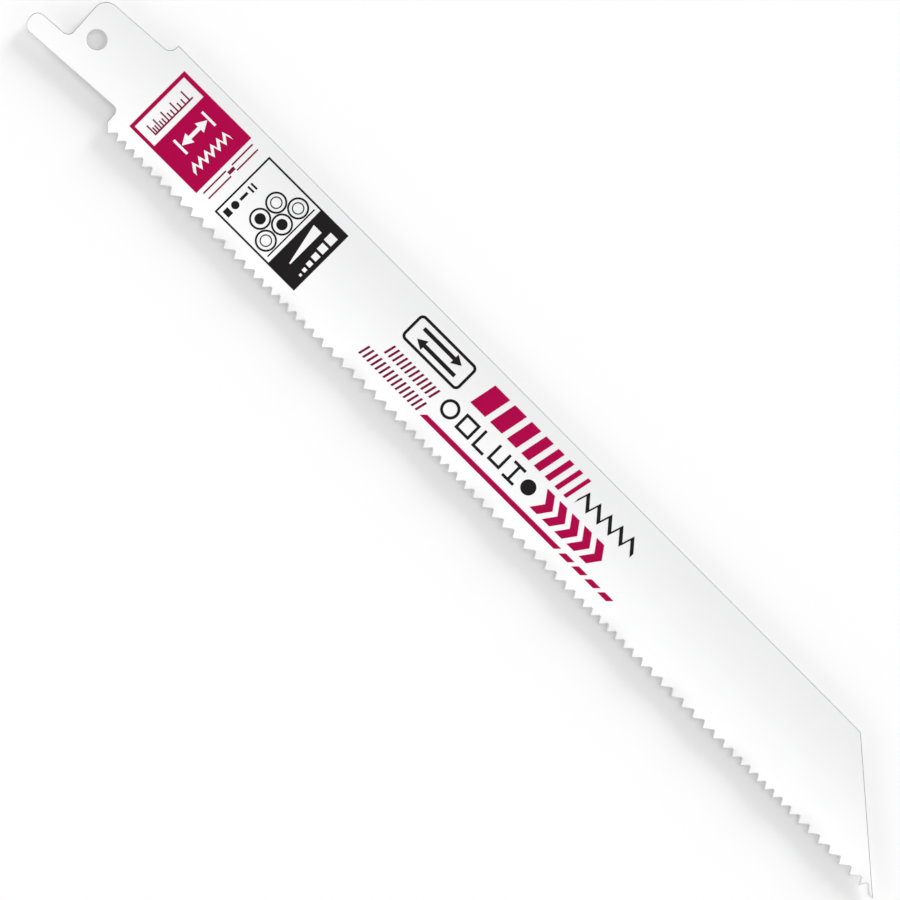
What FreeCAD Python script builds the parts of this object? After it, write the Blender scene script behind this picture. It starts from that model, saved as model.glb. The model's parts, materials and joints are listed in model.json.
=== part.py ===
# Reciprocating saw blade, in millimetres.
# Origin: centre of the shank hole, half way through the plate. +X runs from the shank to
# the nose along the tooth tips, +Y to the back edge, and +Z out of the printed face.
import FreeCAD, Part
import math
import os

import Sketcher

doc = FreeCAD.newDocument("saw_blade")

# Driving dimensions. Angles are in degrees.
sizes = {
    # The strip that the blade is cut from
    "blade_thickness": 0.9,
    "strip_width": 18.8,
    "back_taper": 0.18,
    "tooth_line": 9.8,
    "step_reach": 10.3,
    "heel_lean": 1.8,
    "toe_reach": 192.8,
    "nose_angle": 40.8,
    # The shank, canted against the tooth line about its hole
    "cant_angle": 3.8,
    "shank_width": 12.8,
    "shank_overlap": 4.0,
    "shoulder_reach": 3.8,
    "finger_reach": 10.9,
    "finger_width": 3.75,
    "hole_bore": 3.5,
    "shoulder_radius": 2.4,
    "notch_radius": 1.2,
    "finger_top_radius": 1.55,
    "finger_foot_radius": 1.7,
    "step_radius": 1.5,
    "heel_radius": 0.95,
    # The teeth: their pitch swings between fine and coarse, and each is a little finer
    "first_tooth": 12.3,
    "tooth_height": 1.2,
    "rake_angle": 29.0,
    "heel_pitch": 2.26,
    "pitch_swing": 0.325,
    "teeth_per_swing": 17.0,
    "pitch_loss": 0.0012,
    "gullet_floor": 0.2,
    "heel_rise": 1.42,
    "toe_width": 0.72,
    "toe_radius": 0.12,
    # The wavy set: past a flat land at the heel, the toothed edge leans to each face in turn
    "heel_land": 1.6,
    "set_depth": 2.6,
    "set_offset": 0.2,
    "wave_length": 15.2,
    # Stock left round the blank until the edge is cut
    "stock": 2.0,
}
sheet = doc.addObject("Spreadsheet::Sheet", "sizes")
for row, (name, value) in enumerate(sizes.items(), start=1):
    sheet.set(f"A{row}", name)
    sheet.set(f"B{row}", str(value))
    sheet.setAlias(f"B{row}", name)
doc.recompute()


def cell(name):
    """The value of one named size."""
    return float(sheet.get(name))


def work_out(expression):
    """The value of an expression in which each named size stands in angle brackets."""
    return float(sheet.evalExpression(expression.replace("<", "").replace(">", "")))


def bound(expression):
    """The same expression as a sketch or feature writes it, to follow the sheet."""
    return expression.replace("<", "sizes.").replace(">", "")


def origin_plane(body, role):
    return next(plane for plane in body.Origin.OriginFeatures if plane.Role == role)


def new_sketch(body, name, role):
    sketch = body.newObject("Sketcher::SketchObject", name)
    sketch.AttachmentSupport = [(origin_plane(body, role), "")]
    sketch.MapMode = "FlatFace"
    return sketch


def bound_polygon(sketch, corners):
    """A closed polygon whose corners are pairs of expressions of the named sizes."""
    points = []
    for across, up in corners:
        points.append(FreeCAD.Vector(work_out(across), work_out(up), 0))
    for index, point in enumerate(points):
        sketch.addGeometry(Part.LineSegment(point, points[(index + 1) % len(points)]))
    for index, corner in enumerate(corners):
        before = (index - 1) % len(points)
        sketch.addConstraint(Sketcher.Constraint("Coincident", before, 2, index, 1))
        for kind, letter, expression in zip(("DistanceX", "DistanceY"), "xy", corner):
            value = points[index].x if letter == "x" else points[index].y
            number = sketch.addConstraint(Sketcher.Constraint(kind, -1, 1, index, 1, value))
            sketch.renameConstraint(number, f"{letter}{index}")
            sketch.setExpression(f"Constraints.{letter}{index}", bound(expression))


def rounded_loop(sketch, corners):
    """A closed run of lines through corners (x, y, radius), with an arc at each radius."""
    ends = []
    for index, (x, y, radius) in enumerate(corners):
        corner = FreeCAD.Vector(x, y, 0)
        before = FreeCAD.Vector(*corners[index - 1][:2], 0) - corner
        after = FreeCAD.Vector(*corners[(index + 1) % len(corners)][:2], 0) - corner
        if radius:
            half = before.getAngle(after) / 2
            reach = radius / math.tan(half)
            start = corner + before.normalize() * reach
            end = corner + after.normalize() * reach
            middle = corner + (before + after).normalize() * (radius / math.sin(half) - radius)
            ends.append((start, end))
            sketch.addGeometry(Part.Arc(start, middle, end))
        else:
            ends.append((corner, corner))
    for index, (_, leaves) in enumerate(ends):
        sketch.addGeometry(Part.LineSegment(leaves, ends[(index + 1) % len(ends)][0]))


def both_sides(feature, expression):
    """Carries a pad or pocket the same way to both sides of its sketch."""
    feature.SideType = "Symmetric"
    feature.setExpression("Length", bound(expression))


def upright_edge(shape, x, y):
    """The name of the straight edge along Z that is nearest to x, y."""
    nearest = None
    for number, edge in enumerate(shape.Edges, start=1):
        box = edge.BoundBox
        if max(box.XLength, box.YLength) < box.ZLength / 10:
            distance = math.hypot(box.Center.x - x, box.Center.y - y)
            if nearest is None or distance < nearest[0]:
                nearest = (distance, f"Edge{number}")
    return nearest[1]


blade = doc.addObject("PartDesign::Body", "blade")
blade.Label = "blade"

# The flat strip, from the line where the set begins up to the back edge, with the land at its
# heel. The back edge falls slightly towards the nose, and the heel end leans back a little.
set_line = "(<set_depth> - <tooth_line>)"
back_line = "(<strip_width> - <tooth_line>)"
stock_line = "(-<tooth_line> - <stock>)"
stock_end = "(<toe_reach> + <stock>)"
set_start = "(<step_reach> + <heel_land>)"
strip_sketch = new_sketch(blade, "strip_sketch", "XY_Plane")
bound_polygon(strip_sketch, [
    (f"<step_reach> + ({back_line} - {stock_line}) * tan(<heel_lean> * 1 deg)", stock_line),
    (set_start, stock_line),
    (set_start, set_line),
    (stock_end, set_line),
    (stock_end, f"{back_line} - ({stock_end} - <step_reach>) * tan(<back_taper> * 1 deg)"),
    ("<step_reach>", back_line),
])
strip = blade.newObject("PartDesign::Pad", "strip")
strip.Profile = strip_sketch
both_sides(strip, "<blade_thickness>")

# The toothed edge, waved from side to side: straight at the set line, and waved more and more
# towards the tips. It starts in the plane of the strip.
edge_start = work_out(set_start)
edge_end = work_out(stock_end)
half_thickness = cell("blade_thickness") / 2
points_per_wave = 8


def ribbon(sketch, offset):
    """A section of the toothed edge: two curves half a thickness from one wave."""
    run = edge_end - edge_start
    waves = max(1, round(run / cell("wave_length")))
    steps = waves * points_per_wave
    corners = []
    for side in (-half_thickness, half_thickness):
        points = []
        for step in range(steps + 1):
            share = step / steps
            across = offset * math.sin(2 * math.pi * waves * share)
            points.append(FreeCAD.Vector(edge_start + run * share, across + side, 0))
        curve = Part.BSplineCurve()
        curve.interpolate(points)
        sketch.addGeometry(curve)
        corners.append((points[0], points[-1]))
    (low_start, low_end), (high_start, high_end) = corners
    sketch.addGeometry(Part.LineSegment(low_end, high_end))
    sketch.addGeometry(Part.LineSegment(high_start, low_start))


stock_offset = work_out("<set_offset> * (<set_depth> + <stock>) / <set_depth>")
sections = []
for name, offset, drop in (
    ("set_line_sketch", 0.0, "<tooth_line> - <set_depth>"),
    ("edge_sketch", stock_offset, "<tooth_line> + <stock>"),
):
    section = new_sketch(blade, name, "XZ_Plane")
    section.setExpression(".AttachmentOffset.Base.z", bound(drop))
    ribbon(section, offset)
    sections.append(section)
set_edge = blade.newObject("PartDesign::AdditiveLoft", "set_edge")
set_edge.Profile = sections[0]
set_edge.Sections = sections[1:]
set_edge.Ruled = True

# The shank, drawn square in its own canted frame: a flat tongue with a finger that runs on
# below the notch at its end.
shank_sketch = new_sketch(blade, "shank_sketch", "XY_Plane")
shank_sketch.setExpression(".AttachmentOffset.Rotation.Angle", bound("<cant_angle> * 1 deg"))
inner_end = "<step_reach> + <shank_overlap>"
bound_polygon(shank_sketch, [
    ("-<finger_reach>", "-<shank_width> / 2"),
    (inner_end, "-<shank_width> / 2"),
    (inner_end, "<shank_width> / 2"),
    ("-<shoulder_reach>", "<shank_width> / 2"),
    ("-<shoulder_reach>", "<finger_width> - <shank_width> / 2"),
    ("-<finger_reach>", "<finger_width> - <shank_width> / 2"),
])
shank = blade.newObject("PartDesign::Pad", "shank")
shank.Profile = shank_sketch
both_sides(shank, "<blade_thickness>")
doc.recompute()

# Rounded corners of the shank, and the fillets where it grows into the strip. Those two are
# held to the height of the step that they fill.
cant = math.radians(cell("cant_angle"))
half_shank = cell("shank_width") / 2
finger_top = cell("finger_width") - half_shank
lean = math.tan(math.radians(cell("heel_lean")))
back_height = work_out(back_line)


def canted(along, up):
    """A point of the shank's frame in the blade's frame."""
    return (
        along * math.cos(cant) - up * math.sin(cant),
        along * math.sin(cant) + up * math.cos(cant),
    )


def heel_at(height):
    """X of the strip's heel end at a height."""
    return cell("step_reach") + (back_height - height) * lean


def meets_heel(up):
    """Where a line along the shank, at a height in its frame, meets the strip's heel end."""
    x, y = canted(0, up)
    run = (heel_at(y) - x) / (1 + math.tan(cant) * lean)
    return x + run, y + run * math.tan(cant)


back_step = meets_heel(half_shank)
heel_step = meets_heel(-half_shank)
heel_height = work_out("<heel_rise> - <tooth_line>")
share_of_wall = 0.85
back_step_limit = (back_height - back_step[1]) * share_of_wall
heel_step_limit = (heel_step[1] - heel_height) * share_of_wall
for name, corner, radius in (
    ("shoulder_round", canted(-cell("shoulder_reach"), half_shank), "<shoulder_radius>"),
    ("notch_round", canted(-cell("shoulder_reach"), finger_top), "<notch_radius>"),
    ("finger_top_round", canted(-cell("finger_reach"), finger_top), "<finger_top_radius>"),
    ("finger_foot_round", canted(-cell("finger_reach"), -half_shank), "<finger_foot_radius>"),
    ("back_step", back_step, f"min(<step_radius>; {back_step_limit})"),
    ("heel_step", heel_step, f"min(<heel_radius>; {heel_step_limit})"),
):
    base = blade.Tip
    fillet = blade.newObject("PartDesign::Fillet", name)
    fillet.Base = (base, [upright_edge(base.Shape, *corner)])
    fillet.setExpression("Radius", bound(radius))
    doc.recompute()

# The hole for the clamp's pin
hole_sketch = new_sketch(blade, "hole_sketch", "XY_Plane")
rim = Part.Circle(FreeCAD.Vector(0, 0, 0), FreeCAD.Vector(0, 0, 1), cell("hole_bore") / 2)
hole_sketch.addGeometry(rim)
hole_sketch.addConstraint(Sketcher.Constraint("Coincident", 0, 3, -1, 1))
hole_sketch.addConstraint(Sketcher.Constraint("Diameter", 0, cell("hole_bore")))
hole_sketch.renameConstraint(1, "bore")
hole_sketch.setExpression("Constraints.bore", bound("<hole_bore>"))
hole = blade.newObject("PartDesign::Pocket", "shank_hole")
hole.Profile = hole_sketch
both_sides(hole, "<blade_thickness> * 3")

# The cut edge: heel, teeth, toe and raked nose in one run. Each gullet is a vee with a short
# rake flank on the nose side and a long back on the other, and the last one leaves a thin toe.
tip_height = -cell("tooth_line")
gullet_height = tip_height + cell("tooth_height")
rake_run = cell("tooth_height") * math.tan(math.radians(cell("rake_angle")))
nose = math.radians(cell("nose_angle"))
toe_start = cell("toe_reach") - cell("toe_width") / math.sin(nose)
toe_gullet = toe_start - cell("tooth_height") / math.tan(nose)

tips = [cell("first_tooth")]
while tips[-1] <= toe_gullet - rake_run:
    gaps = len(tips) - 1
    swing = cell("pitch_swing") * math.cos(2 * math.pi * (gaps - 1) / cell("teeth_per_swing"))
    tips.append(tips[-1] + cell("heel_pitch") - cell("pitch_loss") * gaps - swing)
if tips[-1] > toe_gullet - rake_run / 2:
    tips.pop()

heel_x = heel_at(heel_height)
heel_slope = (heel_height - tip_height) / (tips[0] - heel_x)
outside = tip_height - 2 * cell("stock")
before_heel = heel_x - cell("stock") / 2
above_back = back_height + cell("stock")
edge = [
    (before_heel, outside, 0),
    (before_heel, heel_height + heel_slope * cell("stock") / 2, 0),
    (tips[0], tip_height, 0),
]
for tip in tips[1:]:
    edge.append((tip - rake_run - cell("gullet_floor"), gullet_height, 0))
    edge.append((tip - rake_run, gullet_height, 0))
    edge.append((tip, tip_height, 0))
edge += [
    (toe_gullet - cell("gullet_floor"), gullet_height, 0),
    (toe_gullet, gullet_height, 0),
    (toe_start, tip_height, 0),
    (cell("toe_reach"), tip_height, cell("toe_radius")),
    (cell("toe_reach") - (above_back - tip_height) / math.tan(nose), above_back, 0),
    (edge_end + cell("stock"), above_back, 0),
    (edge_end + cell("stock"), outside, 0),
]
edge_cut_sketch = new_sketch(blade, "edge_cut_sketch", "XY_Plane")
rounded_loop(edge_cut_sketch, edge)
edge_cut = blade.newObject("PartDesign::Pocket", "edge_cut")
edge_cut.Profile = edge_cut_sketch
both_sides(edge_cut, "<blade_thickness> * 3 + <set_offset> * 8")
doc.recompute()

faults = [item.Name for item in doc.Objects if {"Invalid", "Error"} & set(item.State)]
if faults:
    raise RuntimeError("failed objects: " + ", ".join(faults))
if blade.Shape.isNull() or not blade.Shape.isValid() or len(blade.Shape.Solids) != 1:
    raise RuntimeError("the blade is not one valid solid")

os.makedirs("parts", exist_ok=True)
blade.Shape.exportStep(f"parts/{blade.Label}.step")
box = blade.Shape.optimalBoundingBox()
print(f"{len(tips)} teeth, from {tips[0]:.2f} to {tips[-1]:.2f}")
print(f"X {box.XMin:.2f} to {box.XMax:.2f}, Y {box.YMin:.2f} to {box.YMax:.2f}, "
      f"Z {box.ZMin:.2f} to {box.ZMax:.2f}")
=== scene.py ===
import json
import math

import bmesh
import bpy
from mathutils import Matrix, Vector

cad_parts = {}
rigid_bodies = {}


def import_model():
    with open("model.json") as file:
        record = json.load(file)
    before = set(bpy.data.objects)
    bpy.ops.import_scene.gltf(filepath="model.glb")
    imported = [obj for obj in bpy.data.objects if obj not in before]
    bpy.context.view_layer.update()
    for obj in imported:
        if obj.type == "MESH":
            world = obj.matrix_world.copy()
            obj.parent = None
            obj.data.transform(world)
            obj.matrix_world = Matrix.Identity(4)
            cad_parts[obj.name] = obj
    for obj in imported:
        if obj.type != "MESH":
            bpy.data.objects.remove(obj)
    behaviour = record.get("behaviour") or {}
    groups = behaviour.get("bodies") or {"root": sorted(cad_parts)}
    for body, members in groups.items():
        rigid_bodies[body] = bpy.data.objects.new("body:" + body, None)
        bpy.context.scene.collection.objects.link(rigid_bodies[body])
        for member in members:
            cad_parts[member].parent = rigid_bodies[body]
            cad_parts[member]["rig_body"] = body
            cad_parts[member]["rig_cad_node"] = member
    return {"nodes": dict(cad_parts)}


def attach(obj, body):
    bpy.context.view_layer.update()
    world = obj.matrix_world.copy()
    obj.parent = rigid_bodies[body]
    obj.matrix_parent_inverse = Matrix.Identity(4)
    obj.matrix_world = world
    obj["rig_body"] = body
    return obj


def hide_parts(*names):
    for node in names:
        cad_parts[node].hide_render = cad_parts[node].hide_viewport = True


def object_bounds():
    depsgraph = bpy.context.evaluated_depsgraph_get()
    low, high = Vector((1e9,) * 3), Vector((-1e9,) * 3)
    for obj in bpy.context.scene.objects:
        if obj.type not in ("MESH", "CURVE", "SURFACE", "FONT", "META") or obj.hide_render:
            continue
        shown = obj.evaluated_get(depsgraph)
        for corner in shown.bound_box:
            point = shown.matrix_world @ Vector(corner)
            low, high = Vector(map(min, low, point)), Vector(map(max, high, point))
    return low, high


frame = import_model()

cad_box = [list(corner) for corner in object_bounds()]

# The blade
# One strip of steel, punched to shape, with its teeth milled and set in a wave, then dipped in
# white enamel. The coat rounds every punched edge. Its white is painted greyer along the back as painted
# shade.
mm = 0.001
coat_round = 0.165 * mm
front_face = max(corner.co.z for corner in frame["nodes"]["blade"].data.vertices if corner.co.x < 0)
set_start = 11.9 * mm
set_run = 182.9 * mm
set_waves = 12
set_scores = 192
set_line = -7.2 * mm
set_offset = 0.2 * mm
set_ease = 0.15
tooth_line = cad_box[0][1]
back_line = cad_box[1][1]
enamel_by_teeth = (0.93, 0.93, 0.928, 1)
# painted shade: the enamel colour darkens towards the back edge
painted_shade_at_back = (0.79, 0.79, 0.795, 1)
enamel_cloud = (0.975, 0.975, 0.98, 1)
enamel_roughness = (0.26, 0.36)
# grey for the rims: steel under a thin coat, and painted edge shade
steel_and_painted_edge_shade = (0.2, 0.2, 0.205, 1)
hole_reach = 2.0 * mm
peel_height = 0.01 * mm
clouds_per_mm = 0.22


def edit(piece):
    """Selects one piece alone and opens it in edit mode with nothing selected in it."""
    bpy.ops.object.select_all(action="DESELECT")
    bpy.context.view_layer.objects.active = piece
    piece.select_set(True)
    bpy.ops.object.mode_set(mode="EDIT")
    bpy.ops.mesh.select_all(action="DESELECT")


def done():
    """Leaves edit mode."""
    bpy.ops.object.mode_set(mode="OBJECT")


bpy.ops.object.select_all(action="DESELECT")
blade = frame["nodes"]["blade"].copy()
blade.data = frame["nodes"]["blade"].data.copy()
blade.name = "enamelled_blade"
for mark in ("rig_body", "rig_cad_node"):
    if mark in blade:
        del blade[mark]
blade.parent = None
bpy.context.scene.collection.objects.link(blade)

# The strip is laid flat for a moment, so that its coat rounds evenly along the whole rim.
edit(blade)
bpy.ops.mesh.select_all(action="SELECT")
shape = bmesh.from_edit_mesh(blade.data)
for corner in shape.verts:
    corner.co.z = math.copysign(front_face, corner.co.z)
bpy.ops.mesh.remove_doubles(threshold=0.01 * mm)
bpy.ops.mesh.dissolve_limited(angle_limit=math.radians(0.2))
bpy.ops.mesh.select_all(action="DESELECT")
bpy.ops.mesh.select_mode(type="EDGE")
shape = bmesh.from_edit_mesh(blade.data)
for rim in shape.edges:
    facing = [abs(face.normal.z) > 0.5 for face in rim.link_faces]
    rim.select = any(facing) and not all(facing)
bpy.ops.mesh.bevel(offset=coat_round, segments=3, affect="EDGES", clamp_overlap=False)
bpy.ops.mesh.select_mode(type="VERT")

# Then it is scored across and along its toothed edge, and set: waved from face to face.
across_edge = [set_start + set_run * share / set_scores for share in range(set_scores + 1)]
along_edge = [set_line - drop * mm for drop in (0, 0.15, 0.35, 0.65, 1.05)]
for place in across_edge:
    bpy.ops.mesh.select_all(action="SELECT")
    bpy.ops.mesh.bisect(plane_co=(place, 0, 0), plane_no=(1, 0, 0))
for place in along_edge:
    bpy.ops.mesh.select_all(action="SELECT")
    bpy.ops.mesh.bisect(plane_co=(0, place, 0), plane_no=(0, 1, 0))
shape = bmesh.from_edit_mesh(blade.data)
for corner in shape.verts:
    if corner.co.y < set_line and corner.co.x > set_start:
        drop = (set_line - corner.co.y) / (set_line - tooth_line)
        lean = (math.hypot(drop, set_ease) - set_ease) / (math.hypot(1, set_ease) - set_ease)
        turn = 2 * math.pi * set_waves * (corner.co.x - set_start) / set_run
        corner.co.z += set_offset * lean * math.sin(turn)
bmesh.update_edit_mesh(blade.data)
done()
bpy.ops.object.shade_smooth_by_angle(angle=math.radians(40))
flat_faces = blade.modifiers.new("flat_faces", "WEIGHTED_NORMAL")
flat_faces.keep_sharp = True
bpy.ops.object.modifier_apply(modifier=flat_faces.name)


def feed(tree, given, socket):
    """Joins another node's output to a socket, or writes a fixed value in it."""
    if isinstance(given, bpy.types.NodeSocket):
        tree.links.new(given, socket)
    else:
        socket.default_value = given


def combined(tree, operation, first, second=0):
    """Works one value out of two, each of them fixed or another node's."""
    node = tree.nodes.new("ShaderNodeMath")
    node.operation = operation
    feed(tree, first, node.inputs[0])
    feed(tree, second, node.inputs[1])
    return node.outputs[0]


def ranged(tree, value, start, end, low=0, high=1, smooth=True):
    """Spreads a value that runs from start to end over the reach from low to high."""
    node = tree.nodes.new("ShaderNodeMapRange")
    node.interpolation_type = "SMOOTHSTEP" if smooth else "LINEAR"
    feed(tree, value, node.inputs["Value"])
    feed(tree, start, node.inputs["From Min"])
    feed(tree, end, node.inputs["From Max"])
    feed(tree, low, node.inputs["To Min"])
    feed(tree, high, node.inputs["To Max"])
    return node.outputs["Result"]


def mixed(tree, share, first, second, way="MIX"):
    """Mixes two colours, each of them fixed or another node's, by a share of the second."""
    node = tree.nodes.new("ShaderNodeMix")
    node.data_type = "RGBA"
    node.blend_type = way
    factor, colour_a, colour_b, colour_out = 0, 6, 7, 2
    feed(tree, share, node.inputs[factor])
    feed(tree, first, node.inputs[colour_a])
    feed(tree, second, node.inputs[colour_b])
    return node.outputs[colour_out]


def coat_ripple():
    """The fine unevenness of a dipped or printed coat: its ripple in millimetres, its depth."""
    group = bpy.data.node_groups.new("coat_ripple", "ShaderNodeTree")
    sockets = group.interface
    sockets.new_socket("Ripple", in_out="INPUT", socket_type="NodeSocketFloat").default_value = 0.6
    sockets.new_socket("Depth", in_out="INPUT", socket_type="NodeSocketFloat").default_value = 0.1
    sockets.new_socket("Normal", in_out="OUTPUT", socket_type="NodeSocketVector")
    sockets.new_socket("Mottle", in_out="OUTPUT", socket_type="NodeSocketFloat")
    given = group.nodes.new("NodeGroupInput")
    place = group.nodes.new("ShaderNodeTexCoord")
    peel = group.nodes.new("ShaderNodeTexNoise")
    peel.inputs["Detail"].default_value = 3
    feed(group, place.outputs["Object"], peel.inputs["Vector"])
    feed(group, combined(group, "DIVIDE", 1 / mm, given.outputs["Ripple"]), peel.inputs["Scale"])
    cloud = group.nodes.new("ShaderNodeTexNoise")
    cloud.inputs["Detail"].default_value = 4
    feed(group, place.outputs["Object"], cloud.inputs["Vector"])
    feed(group, clouds_per_mm / mm, cloud.inputs["Scale"])
    bump = group.nodes.new("ShaderNodeBump")
    feed(group, peel_height, bump.inputs["Distance"])
    feed(group, given.outputs["Depth"], bump.inputs["Strength"])
    feed(group, peel.outputs["Fac"], bump.inputs["Height"])
    out = group.nodes.new("NodeGroupOutput")
    feed(group, bump.outputs["Normal"], out.inputs["Normal"])
    feed(group, cloud.outputs["Fac"], out.inputs["Mottle"])
    return group


ripple_group = coat_ripple()


def add_ripple(material, ripple, depth):
    """Places the ripple group in a material, joins its normal and gives back its mottle."""
    tree = material.node_tree
    node = tree.nodes.new("ShaderNodeGroup")
    node.node_tree = ripple_group
    feed(tree, ripple, node.inputs["Ripple"])
    feed(tree, depth, node.inputs["Depth"])
    feed(tree, node.outputs["Normal"], tree.nodes["Principled BSDF"].inputs["Normal"])
    return node.outputs["Mottle"]


enamel = bpy.data.materials.new("white_enamel")
enamel.use_nodes = True
tree = enamel.node_tree
coat = tree.nodes["Principled BSDF"].inputs
coat["IOR"].default_value = 1.5
mottle = add_ripple(enamel, 0.7, 0.25)
place = tree.nodes.new("ShaderNodeTexCoord")
spot = tree.nodes.new("ShaderNodeSeparateXYZ")
feed(tree, place.outputs["Object"], spot.inputs[0])
facing = tree.nodes.new("ShaderNodeSeparateXYZ")
feed(tree, place.outputs["Normal"], facing.inputs[0])
from_hole = tree.nodes.new("ShaderNodeVectorMath")
from_hole.operation = "LENGTH"
feed(tree, place.outputs["Object"], from_hole.inputs[0])

# The white is painted greyer towards the back edge as painted shade, with faint clouds in it.
painted_shade_to_back = ranged(tree, spot.outputs["Y"], tooth_line + 1 * mm, back_line - 0.5 * mm)
painted_shade_graded = mixed(tree, painted_shade_to_back, enamel_by_teeth, painted_shade_at_back)
clouded = mixed(tree, mottle, painted_shade_graded, enamel_cloud, "MULTIPLY")

# Grey on the rims: partly steel where the coat is thin, partly painted edge shade that draws each rim as
# a dark line. Less on rims that face the teeth, away from the low lamp, as they lie in shade already;
# none round the hole.
on_rim = ranged(tree, combined(tree, "ABSOLUTE", facing.outputs["Z"]), 0.992, 0.93)
less_on_shaded_side = ranged(tree, facing.outputs["Y"], -0.5, 0.1, low=0.25)
off_hole = ranged(
    tree, from_hole.outputs["Value"], hole_reach, hole_reach + 0.2 * mm, low=0.1, smooth=False,
)
painted_edge_shade_and_wear = combined(tree, "MULTIPLY", combined(tree, "MULTIPLY", on_rim, less_on_shaded_side), off_hole)
feed(tree, mixed(tree, painted_edge_shade_and_wear, clouded, steel_and_painted_edge_shade), coat["Base Color"])
feed(tree, ranged(tree, mottle, 0, 1, *enamel_roughness, smooth=False), coat["Roughness"])

blade.data.materials.clear()
blade.data.materials.append(enamel)
frame["nodes"]["blade"].data.materials.clear()
frame["nodes"]["blade"].data.materials.append(enamel)
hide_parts("blade")
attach(blade, "root")

# The magenta panel
# Ink screened onto the enamel in a film about a hair thick. The panel keeps a bare window, with
# a row of graduations, and white marks for length and teeth are screened over its field.
ink_depth = 0.03 * mm
ink_sink = 0.012 * mm
panel_x = (14.0, 29.8)
panel_y = (-6.3, 6.7)
window_x = (14.7, 19.3)
window_y = (-5.7, 5.9)
scale_x = 17.95
scale_y = (-4.3, 4.6)
scale_width = 0.3
tick_width = 0.26
long_tick = 1.95
short_tick = 1.05
long_every = 3
first_spacing = 0.42
spacing_growth = 1.07
arrow_x = 22.5
arrow_heads = (-1.15, 2.35)
arrow_head = 1.25
arrow_shaft = 0.7
stop_reach = 1.6
stop_width = 0.45
stop_gap = 0.1


def new_ink(name, colour, shade):
    """A satin ink whose film varies a little in depth of colour."""
    ink = bpy.data.materials.new(name)
    ink.use_nodes = True
    tree = ink.node_tree
    coat = tree.nodes["Principled BSDF"].inputs
    coat["Roughness"].default_value = 0.38
    coat["Specular IOR Level"].default_value = 0.04
    feed(tree, mixed(tree, add_ripple(ink, 0.35, 0.2), colour, shade), coat["Base Color"])
    return ink


magenta = new_ink("magenta_ink", (0.43, 0.0, 0.066, 1), (0.385, 0.0, 0.056, 1))
wine = new_ink("wine_ink", (0.23, 0.006, 0.055, 1), (0.17, 0.004, 0.045, 1))
black = new_ink("black_ink", (0.014, 0.011, 0.012, 1), (0.01, 0.008, 0.009, 1))
inks = {"magenta_ink": magenta, "wine_ink": wine, "black_ink": black, "enamel": enamel}


def film(name, x, y):
    """A flat film over a reach of x and of y, both in millimetres."""
    bpy.ops.object.select_all(action="DESELECT")
    bpy.ops.mesh.primitive_plane_add(size=mm)
    piece = bpy.context.object
    piece.name = name
    piece.location = (sum(x) / 2 * mm, sum(y) / 2 * mm, 0)
    piece.scale = (x[1] - x[0], y[1] - y[0], 1)
    bpy.ops.object.transform_apply(location=True, rotation=True, scale=True)
    return piece


def cut_out(piece, x, y):
    """Scores a film along four lines and peels away what lies between them."""
    edit(piece)
    for place, line in ((x[0], (1, 0, 0)), (x[1], (1, 0, 0)), (y[0], (0, 1, 0)), (y[1], (0, 1, 0))):
        bpy.ops.mesh.select_all(action="SELECT")
        point = (place * mm, place * mm, 0)
        bpy.ops.mesh.bisect(plane_co=point, plane_no=line)
    bpy.ops.mesh.select_all(action="DESELECT")
    bpy.ops.mesh.select_mode(type="FACE")
    shape = bmesh.from_edit_mesh(piece.data)
    for face in shape.faces:
        middle = face.calc_center_median() / mm
        face.select = x[0] < middle.x < x[1] and y[0] < middle.y < y[1]
    bpy.ops.mesh.delete(type="FACE")
    bpy.ops.mesh.select_mode(type="VERT")
    done()


def ribbon(name, start, edge, moves):
    """A film that sets out from one straight edge and runs through a row of moves."""
    bpy.ops.object.select_all(action="DESELECT")
    bpy.ops.mesh.primitive_plane_add(size=mm)
    piece = bpy.context.object
    piece.name = name
    edit(piece)
    shape = bmesh.from_edit_mesh(piece.data)
    for corner in shape.verts:
        corner.select = corner.co.x > 0
    bpy.ops.mesh.delete(type="VERT")
    bpy.ops.mesh.select_all(action="SELECT")
    bpy.ops.transform.translate(value=(mm / 2, mm / 2, 0))
    done()
    piece.scale = (1, math.hypot(*edge), 1)
    piece.rotation_euler = (0, 0, math.atan2(edge[1], edge[0]) - math.pi / 2)
    piece.location = (start[0] * mm, start[1] * mm, 0)
    bpy.ops.object.transform_apply(location=True, rotation=True, scale=True)
    edit(piece)
    bpy.ops.mesh.select_all(action="SELECT")
    for move in moves:
        step = (move[0] * mm, move[1] * mm, 0)
        bpy.ops.mesh.extrude_edges_move(TRANSFORM_OT_translate={"value": step})
    done()
    return piece


def disc(name, centre, radius, bore=0, corners=48, turn=0):
    """A round film, or a ring where it has a bore, or an arrow head where it has 3 corners."""
    bpy.ops.object.select_all(action="DESELECT")
    place = (centre[0] * mm, centre[1] * mm, 0)
    bpy.ops.mesh.primitive_circle_add(
        vertices=corners, radius=radius * mm, fill_type="NGON", location=place,
        rotation=(0, 0, math.radians(turn)),
    )
    piece = bpy.context.object
    piece.name = name
    bpy.ops.object.transform_apply(location=True, rotation=True, scale=True)
    if bore:
        edit(piece)
        bpy.ops.mesh.select_all(action="SELECT")
        bpy.ops.mesh.inset(thickness=(radius - bore) * mm)
        bpy.ops.mesh.delete(type="FACE")
        done()
    return piece


def repeat(piece, count, step):
    """Runs a film on in a row of copies."""
    row = piece.modifiers.new("row", "ARRAY")
    row.count = count
    row.use_relative_offset = False
    row.use_constant_offset = True
    row.constant_offset_displace = (step[0] * mm, step[1] * mm, 0)
    bpy.context.view_layer.objects.active = piece
    bpy.ops.object.modifier_apply(modifier=row.name)
    return piece


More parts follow.
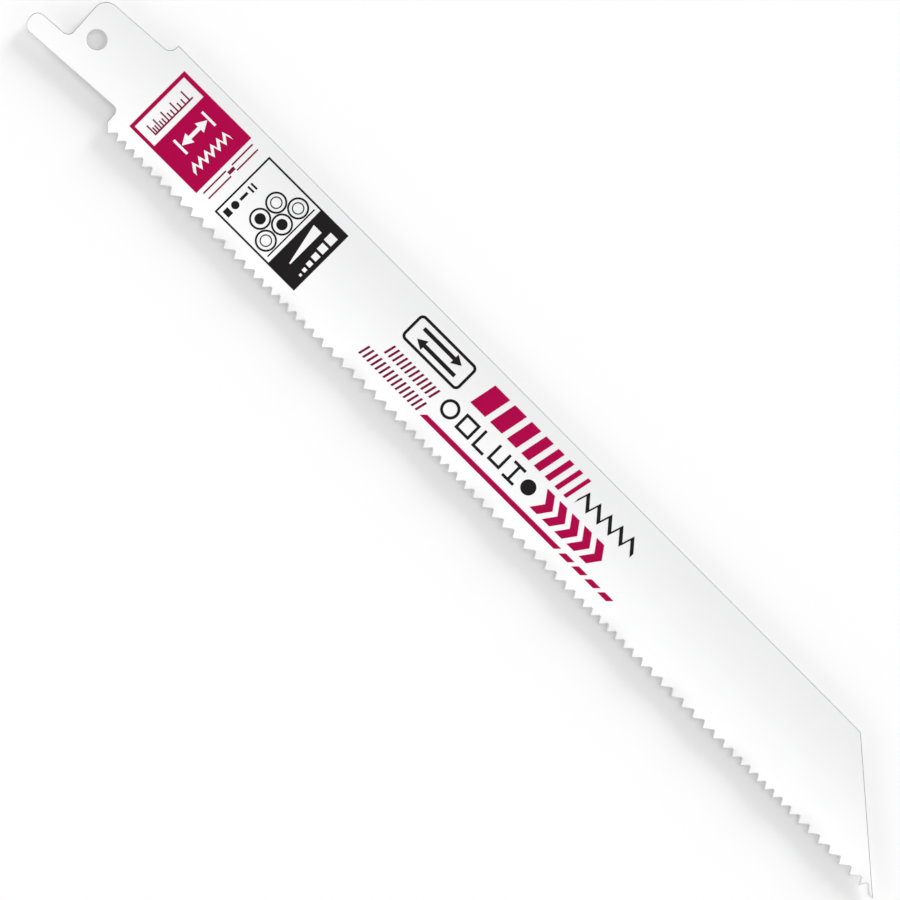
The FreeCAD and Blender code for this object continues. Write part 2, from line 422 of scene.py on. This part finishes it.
def screen(name, ink, films, layer=0):
    """Joins films into one printed piece, gives it the ink's depth and lays it on the blade."""
    bpy.ops.object.select_all(action="DESELECT")
    for piece in films:
        piece.select_set(True)
    bpy.context.view_layer.objects.active = films[0]
    if len(films) > 1:
        bpy.ops.object.join()
    piece = bpy.context.object
    piece.name = name
    edit(piece)
    bpy.ops.mesh.select_all(action="SELECT")
    bpy.ops.mesh.normals_make_consistent(inside=False)
    shape = bmesh.from_edit_mesh(piece.data)
    if sum(face.normal.z for face in shape.faces) < 0:
        bpy.ops.mesh.flip_normals()
    lift = front_face - ink_sink + layer * ink_sink
    bpy.ops.transform.translate(value=(0, 0, lift))
    done()
    depth = piece.modifiers.new("depth", "SOLIDIFY")
    depth.thickness = ink_depth
    depth.offset = 1
    bpy.ops.object.modifier_apply(modifier=depth.name)
    piece.data.materials.clear()
    piece.data.materials.append(inks[ink])
    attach(piece, "root")
    return piece


panel = film("panel", panel_x, panel_y)
cut_out(panel, window_x, window_y)
screen("magenta_panel", "magenta_ink", [panel])

marks = [film("scale_line", (scale_x, scale_x + scale_width), scale_y)]
place = scale_y[0]
spacing = first_spacing
count = 0
while place < scale_y[1]:
    tick = short_tick if count % long_every else long_tick
    marks.append(film("scale_tick", (scale_x - tick, scale_x), (place, place + tick_width)))
    spacing *= spacing_growth
    place += spacing
    count += 1
screen("window_scale", "wine_ink", marks)

shaft_x = (arrow_x - arrow_shaft / 2, arrow_x + arrow_shaft / 2)
shaft_y = (arrow_heads[0] + arrow_head / 2, arrow_heads[1] - arrow_head / 2)
stop_x = (arrow_x - stop_reach, arrow_x + stop_reach)
low_stop = arrow_heads[0] - arrow_head - stop_gap
high_stop = arrow_heads[1] + arrow_head + stop_gap
length_arrow = [
    film("arrow_shaft", shaft_x, shaft_y),
    disc("arrow_head", (arrow_x, arrow_heads[1]), arrow_head, corners=3, turn=0),
    disc("arrow_foot", (arrow_x, arrow_heads[0]), arrow_head, corners=3, turn=180),
    film("arrow_end", stop_x, (high_stop, high_stop + stop_width)),
    film("arrow_start", stop_x, (low_stop - stop_width, low_stop)),
]
screen("length_arrow", "enamel", length_arrow, 1)

comb = [ribbon("comb", (26.95, -4.15), (0.85, 0), [(-1.35, 1.0), (1.35, 0.42)] * 6)]
screen("tooth_comb", "enamel", comb, 1)

# The gauge lines
# Two pairs of fine lines beside the panel that close on a small block: a sign for how thick the
# strip is. They are screened in the same pass as the window's scale.
gauge_line = 0.27
near_line = 30.55
far_line = 31.78
below_plate = (-5.5, -0.2)
above_plate = (1.2, 6.1)
gauge = [film("gauge_plate", (30.98, 31.62), (below_plate[1], above_plate[0]))]
for line_x in (near_line, far_line):
    for line_y in (below_plate, above_plate):
        gauge.append(film("gauge_line", (line_x, line_x + gauge_line), line_y))
screen("gauge_lines", "wine_ink", gauge)

# The stock box
# A black frame with a solid end. In the frame stands a pile of tube and rod, seen end on, and
# the solid end carries a wedge and a row of squares that run from thin to thick.
box_x = (34.1, 52.8)
box_y = (-6.3, 6.6)
box_line = 0.32
solid_end = 46.5
tube_radius = 1.85
tube_line = 0.33
bore_radius = 1.05
bore_line = 0.2
rod_radius = 0.95
low_row = 43.6
high_row = 40.35
tubes = ((low_row, -3.7), (low_row, 3.9), (high_row, 2.0))
rods = ((low_row, 0.1), (high_row, -1.8))

box = film("box", box_x, box_y)
cut_out(box, (box_x[0] + box_line, solid_end), (box_y[0] + box_line, box_y[1] - box_line))
screen("stock_box", "black_ink", [box])

pile = [film("ground", (45.55, 45.8), (-5.4, 5.7))]
for centre in tubes + rods:
    pile.append(disc("tube", centre, tube_radius, tube_radius - tube_line))
for centre in tubes:
    pile.append(disc("tube_bore", centre, bore_radius, bore_radius - bore_line))
for centre in rods:
    pile.append(disc("rod_core", centre, rod_radius))
screen("stock_pile", "black_ink", pile)

mark_x = (35.1, 36.5)
strip_marks = [
    film("mark", mark_x, (-5.4, -4.3)),
    disc("mark", (sum(mark_x) / 2, -3.1), 0.7),
    film("mark", (35.55, 36.05), (-1.9, -0.2)),
    film("mark", mark_x, (0.4, 0.75)),
    film("mark", mark_x, (1.15, 1.5)),
]
screen("strip_marks", "black_ink", strip_marks)

wedge_x = 49.25
wedge_tip = 0.25
wedge_length = 7.4
wedge_flare = 1.6
wedge = ribbon("wedge", (wedge_x, -3.6), (-wedge_tip, 0), [(0, wedge_length)])
edit(wedge)
shape = bmesh.from_edit_mesh(wedge.data)
for corner in shape.verts:
    corner.select = corner.co.y > 0 and corner.co.x < (wedge_x - wedge_tip / 2) * mm
bpy.ops.transform.translate(value=(-wedge_flare * mm, 0, 0))
done()
screen("thickness_wedge", "enamel", [wedge], 1)

squares = []
squares_foot = 51.95
squares_gap = 0.5
place = -3.9
side = 0.45
while place < 3.4:
    squares.append(film("square", (squares_foot - side, squares_foot), (place, place + side)))
    place += side + squares_gap
    side += 0.24
screen("thickness_steps", "enamel", squares, 1)

# The stroke sign
# Two opposed arrows in an upright rounded frame, for a blade that works to and fro.
sign_x = (70.6, 83.8)
sign_y = (0.9, 6.3)
sign_corner = 1.0 * mm
sign_line = 0.5 * mm
stroke_head = 1.15
stroke_shaft = 0.7
out_y = 4.6
back_y = 2.6

sign = film("stroke_frame", sign_x, sign_y)
edit(sign)
bpy.ops.mesh.select_all(action="SELECT")
bpy.ops.mesh.bevel(offset=sign_corner, segments=6, affect="VERTICES")
bpy.ops.mesh.select_all(action="SELECT")
bpy.ops.mesh.inset(thickness=sign_line)
bpy.ops.mesh.delete(type="FACE")
done()
arrows = [sign]
for name, height, tail, head, turn in (("out", out_y, 72.6, 80.3, -90), ("back", back_y, 81.8, 74.1, 90)):
    neck = head + math.copysign(stroke_head / 2, tail - head)
    shaft_y = (height - stroke_shaft / 2, height + stroke_shaft / 2)
    arrows.append(film(name + "_shaft", (min(tail, neck), max(tail, neck)), shaft_y))
    arrows.append(disc(name + "_head", (head, height), stroke_head, corners=3, turn=turn))
screen("stroke_sign", "black_ink", arrows)

# The lines of strokes
# Two rows of fine slanted strokes under the stroke sign, one longer than the other.
stroke_width = 0.42
stroke_lean = (0.5, 2.1)
stroke_step = (0.95, 0)
for name, start, strokes in (("upper_strokes", (70.6, -2.95), 12), ("lower_strokes", (67.6, -6.0), 15)):
    stroke = ribbon("stroke", start, (stroke_width, 0), [stroke_lean])
    screen(name, "wine_ink", [repeat(stroke, strokes, stroke_step)])

# The speed bars
# Bold slanted bars that grow narrower towards the nose, and a black line of saw teeth after them.
bar_lean = (1.0, 4.95)
bar_gap = 1.15
bars = []
place = 86.7
width = 3.5
while width > 0.7:
    bars.append(ribbon("speed_bar", (place, 1.35), (width, 0), [bar_lean]))
    place += width + bar_gap
    width *= 0.8
screen("speed_bars", "magenta_ink", bars)

saw_width = 0.95
saw_rise = (0.7, 2.2)
saw_fall = (1.9, -2.2)
saw_line = ribbon("saw_line", (110.8, 1.75), (0, saw_width), [saw_rise, saw_fall] * 5)
screen("saw_line", "black_ink", [saw_line])

# The section signs
# The sections that the blade cuts, in black: pipe, square tube, angle, channel, beam and rod.
# Magenta chevrons beside them point the way of the feed.
foot, top = -3.6, -0.1
middle = (foot + top) / 2
wall = 0.5
signs = [disc("pipe", (85.2, middle), 1.7, 1.2)]
tube = film("square_tube", (87.7, 90.9), (foot + 0.15, top - 0.15))
cut_out(tube, (88.2, 90.4), (foot + 0.65, top - 0.65))
signs.append(tube)
signs.append(film("angle_leg", (91.8, 91.8 + wall), (foot, top)))
signs.append(film("angle_foot", (91.8 + wall, 94.4), (foot, foot + wall)))
signs.append(film("channel_web", (95.2, 98.0), (foot + 0.3, foot + 0.3 + wall)))
signs.append(film("channel_leg", (95.2, 95.2 + wall), (foot + 0.3 + wall, top)))
signs.append(film("channel_leg", (98.0 - wall, 98.0), (foot + 0.3 + wall, top)))
signs.append(film("beam_top", (98.9, 101.5), (top - wall, top)))
signs.append(film("beam_foot", (98.9, 101.5), (foot, foot + wall)))
signs.append(film("beam_web", (99.95, 100.45), (foot + wall, top - wall)))
signs.append(disc("rod", (103.6, middle), 1.35))
screen("section_signs", "black_ink", signs)
chevron = ribbon("chevron", (106.0, -4.0), (1.75, 0), [(1.55, 2.15), (-1.55, 2.15)])
chevrons = repeat(chevron, 5, (2.9, 0))
screen("feed_chevrons", "magenta_ink", [chevrons])

# The base stripe
# One slim magenta stripe along the teeth, broken into dashes towards the nose.
stripe_y = -6.1
stripe_end = (0.9, 0.9)
dash_step = (3.05, 0)
stripe = ribbon("stripe", (82.2, stripe_y), stripe_end, [(31.6, 0)])
dash = ribbon("dash", (114.9, stripe_y), stripe_end, [(2.1, 0)])
screen("base_stripe", "magenta_ink", [stripe, repeat(dash, 4, dash_step)])

# The studio
# A pale sheet that the blade lies on, an even room light, a soft lamp low on the back edge's
# side, which draws the long shadow past the teeth, and a long lens straight above.
view_centre = Vector((89.96 * mm, -6.67 * mm, 0.45 * mm))
view_width = 149.97 * mm
lens = 200
sensor = 36
bow = 0.85 * mm
floor_height = cad_box[0][2] - bow
ceiling_light = 0.28
wall_light = 1.37
wall_top = 0.42
ceiling_edge = 0.62
sheet_white = (0.87, 0.87, 0.87, 1)
sheet_glow = 0.1
pure_white = (1, 1, 1, 1)


def seen_directly(tree):
    """One for rays to the camera, mirrored rays and rays let through, and zero for all others."""
    rays = tree.nodes.new("ShaderNodeLightPath").outputs
    seen = combined(tree, "MAXIMUM", rays["Is Camera Ray"], rays["Is Glossy Ray"])
    return combined(tree, "MAXIMUM", seen, rays["Is Transmission Ray"])


bpy.ops.object.select_all(action="DESELECT")
bpy.ops.mesh.primitive_plane_add(size=6, location=(0, 0, floor_height))
floor = bpy.context.object
floor.name = "floor"
bpy.ops.object.transform_apply(location=True, rotation=True, scale=True)
sheet = bpy.data.materials.new("white_sheet")
sheet.use_nodes = True
tree = sheet.node_tree
paper = tree.nodes["Principled BSDF"].inputs
paper["Base Color"].default_value = sheet_white
paper["Roughness"].default_value = 0.9
paper["Specular IOR Level"].default_value = 0
paper["Emission Color"].default_value = pure_white
glow = combined(tree, "MULTIPLY", seen_directly(tree), sheet_glow)
feed(tree, glow, paper["Emission Strength"])
floor.data.materials.append(sheet)

world = bpy.data.worlds.new("room")
bpy.context.scene.world = world
world.use_nodes = True
tree = world.node_tree
looks = tree.nodes.new("ShaderNodeTexCoord")
rise = tree.nodes.new("ShaderNodeSeparateXYZ")
feed(tree, looks.outputs["Generated"], rise.inputs[0])
room_light = ranged(tree, rise.outputs["Z"], ceiling_edge, wall_top, ceiling_light, wall_light)
brightness = ranged(tree, seen_directly(tree), 0, 1, room_light, 1, smooth=False)
background = tree.nodes["Background"].inputs
background["Color"].default_value = pure_white
feed(tree, brightness, background["Strength"])


def lamp(name, elevation, azimuth, strength, spread):
    """A soft distant lamp; azimuth runs from +X towards +Y."""
    light = bpy.data.lights.new(name, "SUN")
    light.energy = strength
    light.angle = math.radians(spread)
    holder = bpy.data.objects.new(name, light)
    bpy.context.scene.collection.objects.link(holder)
    rise, turn = math.radians(elevation), math.radians(azimuth)
    towards = Vector((math.cos(rise) * math.cos(turn), math.cos(rise) * math.sin(turn), math.sin(rise)))
    holder.rotation_euler = towards.to_track_quat("Z", "Y").to_euler()
    return holder


lamp("low_lamp", 17.5, 90, 2.2, 24)
lamp("high_lamp", 78, 60, 0.8, 50)

camera_data = bpy.data.cameras.new("camera")
camera_data.lens = lens
camera_data.sensor_width = sensor
camera = bpy.data.objects.new("camera", camera_data)
bpy.context.scene.collection.objects.link(camera)
camera.location = view_centre + Vector((0, 0, view_width * lens / sensor))
camera.rotation_euler = (0, 0, math.radians(45))
bpy.context.scene.camera = camera
bpy.context.scene.view_settings.view_transform = "Standard"
